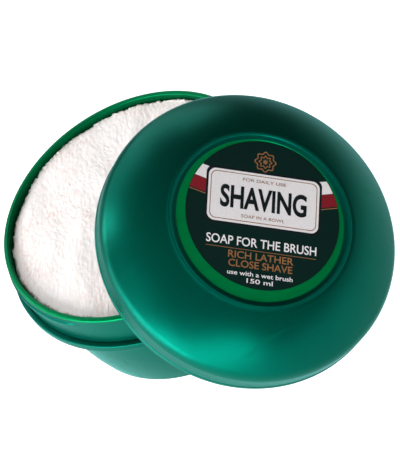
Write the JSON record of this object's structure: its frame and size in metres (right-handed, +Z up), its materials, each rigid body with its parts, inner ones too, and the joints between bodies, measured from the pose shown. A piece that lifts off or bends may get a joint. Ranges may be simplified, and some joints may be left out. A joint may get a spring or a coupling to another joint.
{
  "type": "shaving soap puck",
  "caption": "Shaving soap poured in a round screw-top plastic bowl, with its domed lid off and leaning on the rim.",
  "frame": {"origin": "centre of the jar's foot ring, on the table", "axes": "+Z up along the jar's axis; the lid leans out towards -Y"},
  "size_m": [0.1038, 0.137, 0.0759],
  "materials": {
    "bowl_plastic": "satin moulded polypropylene, deep green",
    "lid_plastic": "satin moulded polypropylene, deep green",
    "soap": "dry crumbly white soap with a fibrous surface",
    "seal_foam": "thin white closed-cell foam",
    "label_print": null,
    "base_paper": "plain printed paper label"
  },
  "bodies": {
    "jar": {"outer_bowl": "bowl_plastic", "inner_cup": "bowl_plastic", "soap": "soap", "base_label": "base_paper"},
    "seal": {"seal_ring": "seal_foam"},
    "lid": {"lid_shell": "lid_plastic", "lid_label": "label_print"}
  },
  "joints": [
    {"name": "lid_lift", "type": "slide", "parent": "jar", "child": "seal", "axis": [0, 0, 1], "range_m": [0, 0.065]},
    {"name": "lid_turn", "type": "hinge", "parent": "seal", "child": "lid", "pos_m": [0, -0.03929, 0.03362], "axis": [0, -0.6538, 0.7567], "continuous": true}
  ]
}
